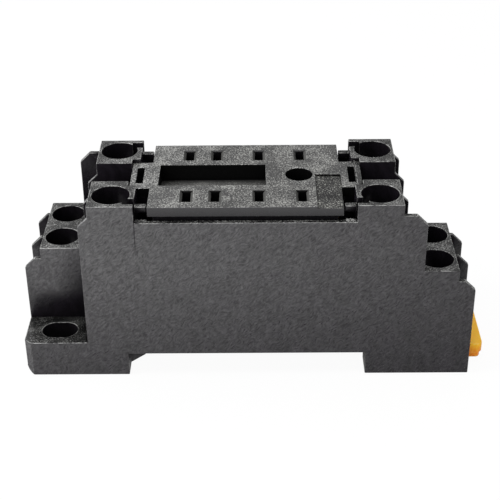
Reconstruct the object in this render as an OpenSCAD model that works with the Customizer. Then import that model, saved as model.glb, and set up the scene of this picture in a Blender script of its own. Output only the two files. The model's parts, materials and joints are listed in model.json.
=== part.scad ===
/* [Housing] */
// Length of the housing, across the rail
body_l = 72; // [71:0.5:76]
// Width of the housing, along the rail
body_w = 23; // [22.5:0.25:26]
// Height from the mounting surface to the top of the upper blocks
body_h = 31.3; // [31:0.1:34]
// Thickness of the outer side walls
wall = 0.9; // [0.7:0.05:1]
// Thickness of the dividers between the terminal lanes
divider_t = 0.8; // [0.6:0.05:1]
// Width of the middle lane between its dividers
mid_lane_w = 6.1; // [5.9:0.05:6.4]
// Height of the lower terminal tier
tier_h = 19.55; // [19.3:0.05:20]
// Distance of the tier's front face from the end of the housing
tier_setback = 2.7; // [2:0.1:3.2]
// Thickness of the decks that the screw bores pass through
deck_t = 4.1; // [3.6:0.1:4.3]

/* [Upper blocks] */
// Length of the opening between the two pairs of upper blocks
gap_l = 34; // [33:0.5:35]
// Thickness of a block's wall towards the opening
block_rim = 0.75; // [0.6:0.05:1]
// Thickness of a block's wall in front of its bore
front_rim = 0.45; // [0.3:0.05:0.8]
// Diameter of the screwdriver bores in the upper blocks
upper_bore_d = 5.9; // [5.6:0.1:6]
// How far down the near and far walls are cut between the blocks
wall_cut = 2.9; // [2.5:0.1:3.2]
// Width of the notch between a block's bore and the corner pocket
notch_w = 1.8; // [1:0.1:2.2]

/* [Lower tier] */
// Diameter of the screwdriver bores in the lower tier
lower_bore_d = 5.45; // [5.3:0.05:5.8]
// Thickness of the tier's wall in front of its bores
tier_rim = 0.475; // [0.3:0.025:0.8]

/* [Barriers] */
// Reach of the long barriers in front of an upper block
long_reach = 3.7; // [2.5:0.1:4]
// Drop of the long barriers below the block's top
long_drop = 1.9; // [1.5:0.1:2.5]
// Reach of the short barriers in front of an upper block
short_reach = 1.55; // [1:0.05:2]
// Drop of the short barriers below the block's top
short_drop = 2.1; // [1.5:0.1:2.5]
// Drop of the end barriers below the lower tier's top
end_drop = 1.95; // [1.5:0.05:2.4]
// Size of the chamfers on the barriers' corners
barrier_chamfer = 1.65; // [1:0.05:1.8]

/* [Feet] */
// Height of the two fixing feet
foot_h = 6.3; // [5:0.1:7]
// Length of the slotted fixing hole
slot_l = 5.8; // [5:0.1:6.2]
// Width of the slotted fixing hole
slot_w = 4.2; // [3.6:0.1:4.4]
// Distance of the fixing hole's centre from the end of the housing
slot_inset = 5.4; // [5:0.1:5.8]
// Chamfer on a foot's upright outer corner
foot_chamfer = 1.1; // [0.6:0.1:1.6]
// Radius under a foot's outer end
foot_round = 1.3; // [0.8:0.1:1.6]

/* [Rail channel] */
// Width of the channel for the rail
channel_w = 38.4; // [38:0.1:39]
// Depth of the channel, from the mounting surface to the rail's seat
channel_h = 4.1; // [3.9:0.05:4.3]
// Distance between the fixed stop and the clip's stop, for a 35 mm rail
rail_fit = 35.4; // [35.2:0.05:35.6]
// Room for the rail's flange above the hooks
flange_room = 1.4; // [1.2:0.05:1.6]
// Reach of the fixed hook under the flange
hook_reach = 2.2; // [1.6:0.1:2.6]
// Width of the fixed hook at its root
hook_w = 16.2; // [14:0.2:17]

/* [Rail clip] */
// Width of the clip's sliding plate
clip_w = 11; // [10.5:0.1:11.2]
// Place of the clip across the housing, clear of the far foot's fixing slot
clip_y = -2.2; // [-2.6:0.1:-2]
// How far the clip's tongue stands out of the housing
tongue_reach = 2.9; // [2.5:0.1:4]
// Height of the clip's tongue above the mounting surface
tongue_top = 3.4; // [3:0.1:3.7]
// Height of the clip's underside above the mounting surface
clip_bottom = 0.5; // [0.3:0.05:0.7]
// Reach of the clip's nose under the flange
nose_reach = 1.6; // [1.4:0.1:2]
// Width of the clip's nose
nose_w = 6; // [5:0.25:8]
// How far the clip is pulled to free the rail
clip_travel = 3; // [2.2:0.1:3.2]
// Thickness of the clip's spring arms
arm_t = 0.9; // [0.7:0.05:1]
// Width of the peg that the spring arms hold
peg_w = 2.4; // [2:0.1:2.8]
// Length of the peg that the spring arms hold
peg_l = 1.5; // [1.2:0.1:2]
// Gap between the clip and the housing
clip_gap = 0.25; // [0.15:0.05:0.3]

/* [Contact plate] */
// Distance of the contact plate's ends from the upper blocks
plate_end = 2; // [1.6:0.1:2.2]
// Distance of the contact plate's edges from the housing's sides
plate_side = 0.8; // [0.7:0.05:1]
// Distance of the plate's top below the blocks' top
plate_drop = 0.6; // [0.4:0.1:0.8]
// Thickness of the plate's rim
plate_t = 1.65; // [1.5:0.05:2]
// Thickness of the plate's raised underside
plug_t = 1.8; // [1.6:0.1:2]
// Distance of the plate's underside from its rim
plug_inset = 0.8; // [0.6:0.1:1]
// Width of the plate's two ears
ear_w = 8.8; // [8:0.1:9]
// Reach of the left ear beyond the plate
ear_left = 3.2; // [3:0.1:3.2]
// Reach of the right ear beyond the plate
ear_right = 2.5; // [2.4:0.1:2.6]
// Length of the slot in each ear, along the housing
ear_slot_l = 1.1; // [0.8:0.1:1.1]
// Width of the slot in each ear
ear_slot_w = 5.3; // [4:0.1:5.8]
// Length of the recess in the plate
recess_l = 16.85; // [15:0.25:17]
// Width of the recess in the plate
recess_w = 7; // [6:0.1:7.2]
// Depth of the recess in the plate
recess_d = 2.8; // [2:0.1:2.8]
// Distance of the recess from the plate's left end
recess_start = 1.3; // [1:0.1:1.5]
// Diameter of the round hole in the plate
post_hole_d = 4.3; // [3.5:0.1:4.6]
// Place of the round hole along the plate
post_hole_x = 8.45; // [8:0.05:9]
// Length of the sunk area beside the round hole
patch_l = 4; // [3.4:0.1:4.2]
// Depth of the sunk area
patch_d = 0.3; // [0.1:0.05:0.5]

/* [Contacts] */
// Places of the four contact pairs along the plate
contact_x = [-9.15, -4.7, 2.1, 8.8]; // [-12:0.05:12]
// Distance of the contact rows from the plate's centre line
contact_y = 7; // [6.8:0.1:7.2]
// Length of a contact slot, along the housing
contact_slot_l = 1.9; // [1.6:0.1:2.2]
// Width of a contact slot
contact_slot_w = 3.6; // [3.4:0.1:4]
// Width of a fork contact's leaves
fork_w = 2.8; // [2.4:0.05:2.9]
// Length of a fork contact's foot, along the housing
fork_l = 2.8; // [2.6:0.05:3.2]
// Sheet thickness of a fork contact
fork_t = 0.35; // [0.3:0.05:0.45]
// Height of a fork contact
fork_h = 9.8; // [9.2:0.1:9.8]
// Gap between a fork contact's leaves where they pinch
fork_pinch = 0.3; // [0.2:0.05:0.5]

/* [Terminals] */
// Diameter of the terminal screws' thread
thread_d = 2.9; // [2.8:0.05:3]
// Length of the terminal screws below the head
shank_l = 5.5; // [5:0.1:5.8]
// Diameter of the terminal screws' head
head_d = 4.9; // [4.7:0.05:5]
// Height of the terminal screws' head
head_h = 1.9; // [1.6:0.05:2]
// Width of the clamp washers, across the lane
washer_w = 5.4; // [5:0.1:5.5]
// Length of the clamp washers, along the lane
washer_l = 5.6; // [5.2:0.05:5.65]
// Thickness of the clamp washers
washer_t = 0.9; // [0.8:0.05:1]
// How far a terminal screw opens
screw_travel = 2; // [1.6:0.1:2]
// Radial gap between the screws and their tapped strips
thread_gap = 0.05; // [0.02:0.01:0.08]
// Thickness of the terminal strips
strip_t = 0.8; // [0.6:0.05:0.9]
// Width of a strip between its terminal and its contact
strip_w = 2.8; // [2.6:0.05:2.9]

/* [Hidden] */
$fn = 64;
eps = 0.01;

// lane positions, across the housing
side_y = body_w / 2;
mid_y = mid_lane_w / 2;
lane_y = side_y - wall - upper_bore_d / 2;
chamber_w = upper_bore_d;

// stations along the housing
end_x = body_l / 2;
block_x = gap_l / 2;
upper_x = block_x + block_rim + upper_bore_d / 2;
front_x = upper_x + upper_bore_d / 2 + front_rim;
long_x = front_x + long_reach;
short_x = front_x + short_reach;
tier_x = end_x - tier_setback;
lower_x = tier_x - tier_rim - lower_bore_d / 2;
web_inset = 1.3;
web_x = block_x + web_inset;
web_t = 0.8;
ledge_gap = 0.2;
ledge_w = 1.1;
ledge_drop = 0.5;
ledge_h = 1;

// the covers over the upper strips
cover_t = 1;
cover_reach = 1.2;

// the contact plate lies in the opening between the blocks
plate_l = gap_l - 2 * plate_end;
plate_w = body_w - 2 * plate_side;

// levels above the mounting surface
head_room = 0.5;
stack_h = deck_t + head_room + screw_travel + head_h + washer_t;
upper_z = body_h - stack_h;
lower_z = tier_h - stack_h;
floor_z = lower_z - strip_t;
cut_z = body_h - wall_cut;
plate_z = body_h - plate_drop;
rim_z = plate_z - plate_t;
plug_z = rim_z - plug_t;
plug_gap = 0.1;
fork_z = plug_z - plug_gap - fork_h;

// chambers round the screws
washer_gap = 0.2;
chamber_back = washer_l / 2 + washer_gap;
core_x = lower_x - chamber_back - wall;
shank_room = 0.3;
collar_d = thread_d + 1.2;
collar_h = 1;
strip_gap = 0.1;
washer_hole_gap = 0.1;

// the hook and the clip
hook_z = channel_h - flange_room;
stop_x = rail_fit - channel_w / 2;
pocket_w = clip_w + 2 * clip_gap;
lip_w = 1;
lip_h = 0.7;
lip_z = clip_bottom + lip_h;
clip_start = 0.4;
nose_t = 0.6;
peg_start = 6.8;
peg_x = channel_w / 2 + peg_start;
peg_drop = 0.3;
window_l = 12;
window_rim = 0.7;
window_w = clip_w - 2 * lip_w - 2 * window_rim;
window_end = 5.5;
window_x = peg_x + peg_l / 2 + window_end - window_l;
arm_gap = 0.3;
arm_y = peg_w / 2 + arm_gap;
arm_lift = 0.4;
arm_roof = 0.6;
arm_h = channel_h - arm_roof - clip_bottom - arm_lift;
stop_l = 1.2;
stop_reach = 0.8;
stop_gap = 0.05;
release_gap = 0.2;

// the ears' slots
ear_rim_left = 0.9;
ear_rim_right = 0.15;
ear_gap = 0.15;
pocket_gap = 0.4;

// the screws' recesses
drive_w = 0.8;
drive_d = 0.8;
drive_l = 2.6;

// the forks' bends and the rivets that hold them
knee_h = fork_h * 0.35;
flare_h = 1.4;
flare = 0.45;
rivet_d = 1.4;
rivet_h = 0.2;
rivet_gap = 0.05;

// terminals: [place along, place across, strip top, contact place along, row]
TERMINALS = [
    [-upper_x, -lane_y, upper_z, contact_x[0], -1],
    [upper_x, -lane_y, upper_z, contact_x[3], -1],
    [lower_x, -lane_y, lower_z, contact_x[2], -1],
    [lower_x, 0, lower_z, contact_x[1], -1],
    [upper_x, lane_y, upper_z, contact_x[3], 1],
    [-upper_x, lane_y, upper_z, contact_x[0], 1],
    [-lower_x, lane_y, lower_z, contact_x[1], 1],
    [-lower_x, 0, lower_z, contact_x[2], 1]
];

function flip(points) = [for (i = [len(points) - 1:-1:0]) [-points[i][0], points[i][1]]];

// the side wall's outline over a lane that has a lower terminal
function tier_side() = [
    [end_x, 0],
    [end_x, tier_h - end_drop - barrier_chamfer],
    [end_x - barrier_chamfer, tier_h - end_drop],
    [tier_x, tier_h - end_drop],
    [tier_x, tier_h],
    [long_x, tier_h],
    [long_x, body_h - long_drop - barrier_chamfer],
    [long_x - barrier_chamfer, body_h - long_drop],
    [front_x, body_h - long_drop],
    [front_x, body_h],
    [block_x, body_h],
    [block_x, cut_z]
];

// the side wall's outline over a lane that ends in a foot
function foot_side() = [
    [short_x, 0],
    [short_x, body_h - short_drop - short_reach],
    [front_x, body_h - short_drop],
    [front_x, body_h],
    [block_x, body_h],
    [block_x, cut_z]
];

// a divider's outline, from the opening to the end
function divider_side() = [
    [channel_w / 2, 0],
    [end_x, 0],
    [end_x, tier_h - end_drop - barrier_chamfer],
    [end_x - barrier_chamfer, tier_h - end_drop],
    [tier_x, tier_h - end_drop],
    [tier_x, tier_h],
    [short_x, tier_h],
    [short_x, body_h - short_drop - short_reach],
    [front_x, body_h - short_drop],
    [front_x, body_h],
    [block_x, body_h],
    [block_x, rim_z],
    [plate_l / 2 + pocket_gap, rim_z],
    [plate_l / 2 + pocket_gap, floor_z - eps],
    [channel_w / 2, floor_z - eps]
];

// what fills a lane below its walls' outlines
function outer_lane() = [
    [channel_w / 2, 0], [end_x, 0], [end_x, floor_z], [tier_x, floor_z], [tier_x, tier_h],
    [front_x, tier_h], [front_x, body_h], [block_x, body_h], [block_x, floor_z - eps],
    [channel_w / 2, floor_z - eps]
];

function foot_lane() = [
    [channel_w / 2, 0], [short_x, 0], [short_x, tier_h], [front_x, tier_h],
    [front_x, body_h], [block_x, body_h], [block_x, floor_z - eps],
    [channel_w / 2, floor_z - eps]
];

function middle_lane() = [
    [channel_w / 2, 0], [end_x, 0], [end_x, floor_z], [tier_x, floor_z], [tier_x, tier_h],
    [web_x, tier_h], [web_x, floor_z - eps], [channel_w / 2, floor_z - eps]
];

module both_ends() {
    children();
    rotate(180) children();
}

// an outline in the XZ plane, filled between two places across the housing
module across(y0, y1) {
    translate([0, y1, 0]) rotate([90, 0, 0]) linear_extrude(y1 - y0) children();
}

module from_to(low, high) {
    translate(low) cube(high - low);
}

// everything is drawn from the mounting surface up and then set on the rail's seat
module on_seat() {
    translate([0, 0, -channel_h]) children();
}

module foot() {
    intersection() {
        across(mid_y, side_y) difference() {
            translate([channel_w / 2, 0]) square([end_x - channel_w / 2, foot_h]);
            difference() {
                translate([end_x - foot_round, 0]) square(foot_round + eps);
                translate([end_x - foot_round, foot_round]) circle(foot_round);
            }
        }
        linear_extrude(foot_h) polygon([
            [0, 0], [end_x, 0], [end_x, side_y - foot_chamfer],
            [end_x - foot_chamfer, side_y], [0, side_y]
        ]);
    }
}

module fixing_slot() {
    translate([end_x - slot_inset, lane_y, -eps]) linear_extrude(foot_h + 2 * eps) {
        square([slot_l - slot_w, slot_w], center = true);
        for (side = [-1, 1]) translate([side * (slot_l - slot_w) / 2, 0]) circle(d = slot_w);
    }
}

// the solid lanes of one end, before anything is cored out
module end_lanes() {
    across(-side_y + eps, -mid_y - divider_t + eps) polygon(outer_lane());
    across(-mid_y - eps, mid_y + eps) polygon(middle_lane());
    across(mid_y + divider_t - eps, side_y - eps) polygon(foot_lane());
    for (y = [-mid_y - divider_t, mid_y]) across(y, y + divider_t) polygon(divider_side());
    foot();
}

module screw_chamber(x, y, deck_z, strip_z, front) {
    from_to([x - chamber_back, y - chamber_w / 2, strip_z - strip_t],
            [front, y + chamber_w / 2, deck_z - deck_t]);
    translate([x, y, strip_z + washer_t - shank_l - shank_room])
        cylinder(d = thread_d + 2 * shank_room, h = shank_l);
    translate([x, y, strip_z - strip_t - collar_h - strip_gap])
        cylinder(d = collar_d + 2 * strip_gap, h = collar_h + 2 * strip_gap);
}

// what is cored out of one end
module end_hollows() {
    for (side = [-1, 1]) {
        screw_chamber(upper_x, side * lane_y, body_h, upper_z, short_x + long_reach);
        translate([upper_x, side * lane_y, body_h - deck_t - eps]) cylinder(d = upper_bore_d, h = deck_t + 2 * eps);
        strip_slot(block_x - eps, upper_x, side * contact_y, upper_z);
        notch(side);
    }
    for (y = [-lane_y, 0]) {
        screw_chamber(lower_x, y, tier_h, lower_z, end_x);
        translate([lower_x, y, tier_h - deck_t - eps]) cylinder(d = lower_bore_d, h = deck_t + 2 * eps);
    }
    strip_slot(core_x - eps, lower_x, -contact_y, lower_z);
    strip_slot(web_x - web_t - eps, lower_x, -(strip_w / 2 + strip_gap), lower_z);
    lane_cores();
    fixing_slot();
}

module strip_slot(x0, x1, y, z) {
    from_to([x0, y - strip_w / 2 - strip_gap, z - strip_t], [x1, y + strip_w / 2 + strip_gap, z]);
}

module notch(side) {
    y = side * (side_y - wall - notch_w / 2);
    from_to([block_x - eps, y - notch_w / 2, body_h - deck_t],
            [upper_x - upper_bore_d / 2 + 1, y + notch_w / 2, body_h + eps]);
}

// the lanes are thin-walled below the upper blocks
module lane_cores() {
    roof = upper_z - strip_t - wall;
    from_to([block_x - eps, -side_y + wall, floor_z], [core_x, -mid_y - divider_t, min(roof, tier_h - wall)]);
    from_to([web_x, -mid_y, floor_z], [core_x, mid_y, tier_h - wall]);
    from_to([block_x - eps, mid_y + divider_t, floor_z], [short_x - wall, side_y - wall, min(roof, tier_h - wall)]);
}

// a short ledge fills each corner between a block and the contact plate
module corner_ledge(side) {
    inner = contact_y + strip_w / 2 + strip_gap;
    y = side > 0 ? inner : -inner - ledge_w;
    top = plate_z - ledge_drop;
    from_to([plate_l / 2 + ledge_gap, y, top - ledge_h], [block_x + eps, y + ledge_w, top]);
}

// a cover keeps fingers off the upper strips, where the gap beside the contact plate would show them
module strip_cover(side) {
    low = upper_z + strip_gap;
    from_to([plate_l / 2 - cover_reach, side > 0 ? mid_y + divider_t - eps : -side_y + wall - eps, low],
            [block_x + eps, side > 0 ? side_y - wall + eps : -mid_y - divider_t + eps, low + cover_t]);
}

module web(top) {
    from_to([web_x - web_t, -mid_y - eps, floor_z - eps], [web_x, mid_y + eps, top]);
}

// the blocks' corners are notched for the contact plate's ear, which lies against the web
module ear_pocket(web_top) {
    w = ear_w / 2 + ear_gap;
    from_to([block_x - eps, -w, rim_z], [web_x - web_t, w, body_h + eps]);
    from_to([web_x - web_t - eps, -w, web_top], [web_x, w, body_h + eps]);
}

// the shelf under the fork contacts nearest an end
module contact_shelf(side, x) {
    from_to([x, side > 0 ? contact_y - strip_w / 2 : -side_y + wall - eps, fork_z - strip_t - wall],
            [block_x + eps, side > 0 ? side_y - wall + eps : -contact_y + strip_w / 2, fork_z - strip_t]);
}

module fixed_hook() {
    root = -channel_w / 2;
    linear_extrude(hook_z) polygon([
        [root - eps, -hook_w / 2], [root, -hook_w / 2], [root + hook_reach, -hook_w / 2 + hook_reach],
        [root + hook_reach, hook_w / 2 - hook_reach], [root, hook_w / 2], [root - eps, hook_w / 2]
    ]);
}

// the clip slides in this pocket, between two lips and round a peg
module clip_pocket() {
    translate([0, clip_y, 0]) difference() {
        from_to([channel_w / 2 - eps, -pocket_w / 2, -eps], [end_x + eps, pocket_w / 2, channel_h]);
        for (side = [-1, 1]) translate([0, side * pocket_w / 2, 0])
            from_to([channel_w / 2, -lip_w, -1], [end_x + 1, lip_w, lip_z]);
        from_to([peg_x - peg_l / 2, -peg_w / 2, clip_bottom + peg_drop], [peg_x + peg_l / 2, peg_w / 2, channel_h + 1]);
    }
}

module housing() {
    color([0.16, 0.16, 0.17]) on_seat() difference() {
        union() {
            both_ends() end_lanes();
            both_ends() across(-side_y, -side_y + wall) polygon(concat(tier_side(), flip(foot_side())));
            from_to([-channel_w / 2 - 1, -side_y + eps, channel_h], [channel_w / 2 + 1, side_y - eps, floor_z]);
            web(plate_z);
            rotate(180) web(rim_z);
            both_ends() for (side = [-1, 1]) {
                corner_ledge(side);
                strip_cover(side);
            }
            for (side = [-1, 1]) {
                contact_shelf(side, contact_x[3] - fork_l / 2);
                rotate(180) contact_shelf(side, -contact_x[0] - fork_l / 2);
            }
            fixed_hook();
        }
        both_ends() end_hollows();
        ear_pocket(plate_z);
        rotate(180) ear_pocket(rim_z);
        difference() {
            from_to([-channel_w / 2, -side_y - 1, -1], [channel_w / 2, side_y + 1, channel_h]);
            fixed_hook();
        }
        clip_pocket();
    }
}

module contact_plate() {
    color([0.3, 0.3, 0.3]) on_seat() difference() {
        union() {
            from_to([-plate_l / 2, -plate_w / 2, rim_z], [plate_l / 2, plate_w / 2, plate_z]);
            from_to([-plate_l / 2 + plug_inset, -plate_w / 2 + plug_inset, plug_z],
                    [plate_l / 2 - plug_inset, plate_w / 2 - plug_inset, rim_z + eps]);
            from_to([-plate_l / 2 - ear_left, -ear_w / 2, rim_z], [plate_l / 2 + ear_right, ear_w / 2, plate_z]);
        }
        for (x = contact_x, side = [-1, 1])
            translate([x, side * contact_y, plug_z - eps])
                linear_extrude(plate_t + plug_t + 2 * eps) square([contact_slot_l, contact_slot_w], center = true);
        for (x = [-plate_l / 2 - ear_left + ear_rim_left, plate_l / 2 + ear_right - ear_rim_right - ear_slot_l])
            from_to([x, -ear_slot_w / 2, rim_z - eps], [x + ear_slot_l, ear_slot_w / 2, plate_z + eps]);
        from_to([-plate_l / 2 + recess_start, -recess_w / 2, plate_z - recess_d],
                [-plate_l / 2 + recess_start + recess_l, recess_w / 2, plate_z + eps]);
        translate([post_hole_x, 0, plug_z - eps]) cylinder(d = post_hole_d, h = plate_t + plug_t + 2 * eps);
        from_to([plate_l / 2 - patch_l, -plate_w / 2 - eps, plate_z - patch_d], [plate_l / 2 + eps, 0, plate_z + eps]);
    }
}

// one elastic arm of the clip, with the stops that the peg runs between
module clip_arm() {
    tip = peg_x - peg_l / 2 - clip_travel - release_gap - stop_l;
    rest = peg_x + peg_l / 2 + stop_gap;
    linear_extrude(arm_h) {
        translate([tip, arm_y]) square([window_x + window_l + eps - tip, arm_t]);
        polygon([
            [tip, arm_y + eps], [tip + stop_l * 0.4, arm_y - stop_reach],
            [tip + stop_l, arm_y - stop_reach], [tip + stop_l, arm_y + eps]
        ]);
        translate([rest, arm_y - stop_reach]) square([stop_l, stop_reach + eps]);
    }
}

module rail_clip() {
    back = channel_w / 2 + clip_start;
    low = lip_z + clip_gap;
    high = channel_h - clip_gap;
    color([0.95, 0.6, 0.12]) on_seat() translate([0, clip_y, 0]) union() {
        difference() {
            union() {
                across(-clip_w / 2, clip_w / 2) polygon([
                    [back, low], [end_x + tongue_reach, low], [end_x + tongue_reach, tongue_top],
                    [end_x + 0.2, tongue_top], [end_x - 0.3, high], [back, high]
                ]);
                from_to([back, -clip_w / 2 + lip_w + clip_gap, clip_bottom],
                        [end_x + tongue_reach - 0.5, clip_w / 2 - lip_w - clip_gap, low + eps]);
            }
            from_to([window_x, -window_w / 2, -1], [window_x + window_l, window_w / 2, channel_h]);
        }
        across(-nose_w / 2, nose_w / 2) polygon([
            [stop_x - nose_reach, hook_z], [stop_x, hook_z], [stop_x, high], [back + eps, high],
            [back + eps, clip_bottom], [stop_x + nose_t, clip_bottom], [stop_x - nose_reach, hook_z - nose_t]
        ]);
        translate([0, 0, clip_bottom + arm_lift]) {
            clip_arm();
            mirror([0, 1, 0]) clip_arm();
        }
    }
}

module terminal_screw(i) {
    spot = TERMINALS[i - 1];
    color("silver") on_seat() translate([spot[0], spot[1], spot[2] + washer_t]) difference() {
        union() {
            translate([0, 0, -shank_l]) cylinder(d = thread_d, h = shank_l + eps);
            cylinder(d = head_d, h = head_h);
        }
        from_to([-head_d, -drive_w / 2, head_h - drive_d], [head_d, drive_w / 2, head_h + eps]);
        from_to([-drive_w / 2, -drive_l / 2, head_h - drive_d], [drive_w / 2, drive_l / 2, head_h + eps]);
    }
}

module clamp_washer(i) {
    spot = TERMINALS[i - 1];
    color("gainsboro") on_seat() translate([spot[0], spot[1], spot[2]]) difference() {
        from_to([-washer_l / 2, -washer_w / 2, 0], [washer_l / 2, washer_w / 2, washer_t]);
        translate([0, 0, -eps]) cylinder(d = thread_d + 2 * washer_hole_gap, h = washer_t + 2 * eps);
    }
}

// a flat length of strip, given by its middle line's two ends in the XZ plane
module strip_run(a, b, y, w) {
    low = [min(a[0], b[0]) - strip_t / 2, y - w / 2, min(a[1], b[1]) - strip_t / 2];
    high = [max(a[0], b[0]) + strip_t / 2, y + w / 2, max(a[1], b[1]) + strip_t / 2];
    from_to(low, high);
}

module terminal_strip(i) {
    spot = TERMINALS[i - 1];
    out = spot[0] > 0 ? 1 : -1;
    tab_z = spot[2] - strip_t / 2;
    seat_z = fork_z - strip_t / 2;
    upper = spot[2] == upper_z;
    middle = spot[1] == 0;
    row_y = spot[4] * contact_y;
    run_y = middle ? spot[4] * (strip_w / 2 + strip_gap) : row_y;
    bend_x = upper ? out * (block_x - 1) : spot[3] + out * (fork_l - strip_t) / 2;
    end = spot[3] - out * (fork_l - strip_t) / 2;
    color("goldenrod") on_seat() difference() {
        union() {
            from_to([spot[0] - washer_l / 2, spot[1] - washer_w / 2, spot[2] - strip_t],
                    [spot[0] + washer_l / 2, spot[1] + washer_w / 2, spot[2]]);
            translate([spot[0], spot[1], spot[2] - strip_t - collar_h]) cylinder(d = collar_d, h = collar_h + eps);
            strip_run([spot[0], tab_z], [bend_x, tab_z], run_y, strip_w);
            if (middle) from_to([bend_x - strip_w / 2, min(run_y, row_y) - strip_w / 2, spot[2] - strip_t],
                                [bend_x + strip_w / 2, max(run_y, row_y) + strip_w / 2, spot[2]]);
            strip_run([bend_x, tab_z], [bend_x, seat_z], row_y, strip_w);
            strip_run([bend_x, seat_z], [end, seat_z], row_y, strip_w);
            translate([spot[3], row_y, fork_z - eps]) cylinder(d = rivet_d, h = fork_t + rivet_h);
        }
        translate([spot[0], spot[1], spot[2] - strip_t - 2]) cylinder(r = thread_d / 2 + thread_gap, h = strip_t + 3);
    }
}

// one leaf of a fork contact, from its foot to its flared tip
function fork_leaf() = [
    [fork_l / 2, 0], [fork_l / 2, knee_h], [fork_pinch / 2 + fork_t, fork_h - flare_h],
    [fork_pinch / 2 + fork_t + flare, fork_h], [fork_pinch / 2 + flare, fork_h],
    [fork_pinch / 2, fork_h - flare_h], [fork_l / 2 - fork_t, knee_h], [fork_l / 2 - fork_t, fork_t]
];

module fork_contact(i) {
    spot = TERMINALS[i - 1];
    color("peru") on_seat() translate([spot[3], spot[4] * contact_y, fork_z]) difference() {
        across(-fork_w / 2, fork_w / 2) polygon(concat(fork_leaf(), flip(fork_leaf())));
        translate([0, 0, -eps]) cylinder(d = rivet_d + 2 * rivet_gap, h = fork_t + 2 * eps);
    }
}

housing();
contact_plate();
rail_clip();
for (i = [1:8]) {
    terminal_screw(i);
    clamp_washer(i);
    terminal_strip(i);
    fork_contact(i);
}
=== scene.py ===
# %% [markdown]
# # A relay socket, dressed
# The solid model already has every shape and size. What it lacks is what a mould, a press and years on a
# shelf give to real pieces: rounded edges, a grained surface, a little flash along the parting lines. The
# cells below copy each solid, finish its edges, and then give it a material built from nodes.

import json
import math

import bmesh
import bpy
from mathutils import Matrix, Vector

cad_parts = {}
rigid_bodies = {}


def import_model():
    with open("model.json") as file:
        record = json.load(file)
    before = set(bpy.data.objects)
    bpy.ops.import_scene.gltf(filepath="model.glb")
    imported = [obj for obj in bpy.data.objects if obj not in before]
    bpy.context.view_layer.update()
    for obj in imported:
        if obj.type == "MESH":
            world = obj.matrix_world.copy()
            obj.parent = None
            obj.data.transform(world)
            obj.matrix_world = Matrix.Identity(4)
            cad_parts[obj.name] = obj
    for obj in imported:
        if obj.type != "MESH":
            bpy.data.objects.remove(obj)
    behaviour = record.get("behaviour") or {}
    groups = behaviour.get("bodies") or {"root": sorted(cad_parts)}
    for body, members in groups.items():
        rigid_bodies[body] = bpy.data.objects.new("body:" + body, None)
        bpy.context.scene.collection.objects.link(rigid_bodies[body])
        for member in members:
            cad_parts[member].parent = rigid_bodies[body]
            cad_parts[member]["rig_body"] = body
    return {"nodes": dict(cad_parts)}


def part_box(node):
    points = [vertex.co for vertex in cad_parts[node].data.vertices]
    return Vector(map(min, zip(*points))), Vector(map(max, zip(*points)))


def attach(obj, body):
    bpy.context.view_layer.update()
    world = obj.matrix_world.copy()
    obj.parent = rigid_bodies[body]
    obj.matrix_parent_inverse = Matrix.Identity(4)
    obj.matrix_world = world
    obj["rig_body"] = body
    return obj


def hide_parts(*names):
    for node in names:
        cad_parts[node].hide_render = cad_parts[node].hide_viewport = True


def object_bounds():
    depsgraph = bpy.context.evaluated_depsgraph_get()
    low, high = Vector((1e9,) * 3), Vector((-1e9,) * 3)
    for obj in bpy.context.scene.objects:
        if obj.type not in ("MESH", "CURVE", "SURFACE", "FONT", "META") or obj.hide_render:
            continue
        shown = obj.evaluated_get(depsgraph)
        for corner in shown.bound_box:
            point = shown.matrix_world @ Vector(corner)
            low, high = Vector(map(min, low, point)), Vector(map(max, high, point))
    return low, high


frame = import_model()
cad_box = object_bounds()
nodes = frame["nodes"]
MM = 0.001
print("nodes", len(nodes), "box in mm", [round(v / MM, 2) for corner in cad_box for v in corner])

# %% [markdown]
# Operators act on all that is selected, and the loaded solids start out selected. So one helper clears the
# selection and makes a single piece active. A second one copies a piece together with its mesh, and a third
# ties a finished piece to the solid that it stands for.


# %% Selecting, copying and standing in
def take(piece):
    """Only this piece is selected, and it is the active one."""
    bpy.ops.object.select_all(action="DESELECT")
    piece.select_set(True)
    bpy.context.view_layer.objects.active = piece


def copy_of(source, name):
    """A copy of a piece under another name, with its own mesh."""
    piece = bpy.data.objects.new(name, source.data.copy())
    bpy.context.collection.objects.link(piece)
    return piece


def stand_for(piece, node):
    """The piece takes a solid's place and rides on its body."""
    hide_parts(node)
    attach(piece, nodes[node]["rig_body"])


bpy.ops.object.select_all(action="DESELECT")

# %% [markdown]
# ## Camera
# A long lens from in front and above: the near wall stays nearly upright, and the tops of the terminal
# blocks are seen.

# %% Camera
EYE = Vector((1.843, -172.72, 116.10)) * MM
LOOK_DOWN = 30.925
TURN, ROLL = 0.422, -0.552
LENS, SENSOR = 88.0, 36.0
NEAREST, FURTHEST = 0.01, 5.0

bpy.ops.object.camera_add(location=EYE)
camera = bpy.context.object
turn, tilt, roll = math.radians(TURN), math.radians(90 - LOOK_DOWN), math.radians(ROLL)
aim = Matrix.Rotation(turn, 3, "Z") @ Matrix.Rotation(tilt, 3, "X") @ Matrix.Rotation(roll, 3, "Z")
camera.rotation_euler = aim.to_euler()
camera.data.lens = LENS
camera.data.sensor_width = SENSOR
camera.data.clip_start, camera.data.clip_end = NEAREST, FURTHEST
bpy.context.scene.camera = camera
print("camera", [round(v / MM, 1) for v in EYE], "mm, looks down by", LOOK_DOWN, "degrees")

# %% [markdown]
# ## Rounded edges
# A moulded edge is never sharp: it has a radius of a tenth or two of a millimetre, and that small round is
# what catches the light. A Bevel modifier rounds every sharp edge, also the inner corners, where it would
# leave spikes. So the outer edges are picked by their angle and rounded with the bevel operator. The
# operator leaves its new faces selected, and they are marked in an attribute, so that a material can later
# wear the edges, and paint highlights on them, and nothing else.

# %% Picking the outer edges, and marking the new rounds
SAME, CLOSE = 0.002 * MM, 0.01 * MM


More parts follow.
